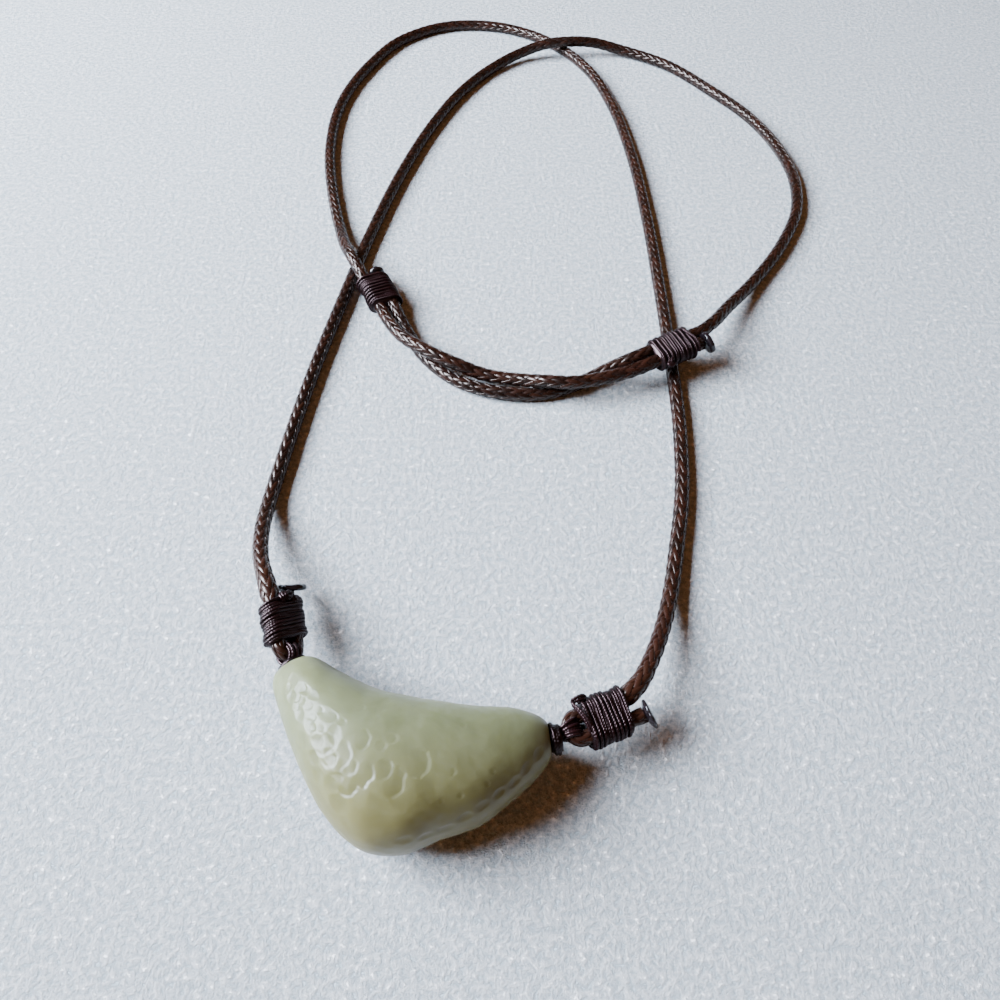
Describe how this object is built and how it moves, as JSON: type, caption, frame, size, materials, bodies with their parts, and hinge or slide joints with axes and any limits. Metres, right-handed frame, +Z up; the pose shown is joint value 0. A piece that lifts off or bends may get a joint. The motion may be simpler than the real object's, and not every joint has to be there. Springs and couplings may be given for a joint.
{
  "type": "jade pendant necklace",
  "caption": "Carved pale-green jade pendant hung by both drilled ends on a dark brown braided cord with wound whippings and sliding knots, laid out on a flat surface.",
  "frame": {"origin": "on the flat surface the necklace lies on, below the middle of the stone", "axes": "+X to the right along the stone's length, +Y away from the stone along the laid-out loop, +Z up"},
  "size_m": [0.1143, 0.2219, 0.0155],
  "materials": {
    "jade": "tumbled nephrite, satin polish, slightly translucent",
    "cord": "waxed braided polyester cord, dark brown",
    "thread": "twisted two-ply thread, very dark brown",
    "melted_cord": "burnt and pressed cord end, glossy black"
  },
  "bodies": {
    "root": {"jade_pendant": "jade", "link_thread": "thread", "collar_left": "thread", "collar_right": "thread", "eye_loop_left": "cord", "eye_loop_right": "cord", "whipping_left": "thread", "whipping_right": "thread", "melted_tip_left": "melted_cord", "melted_tip_right": "melted_cord", "cord_left": "cord", "cord_right": "cord", "slide_knot_left": "thread", "slide_knot_right": "thread", "melted_end_left": "melted_cord", "melted_end_right": "melted_cord"}
  },
  "joints": []
}
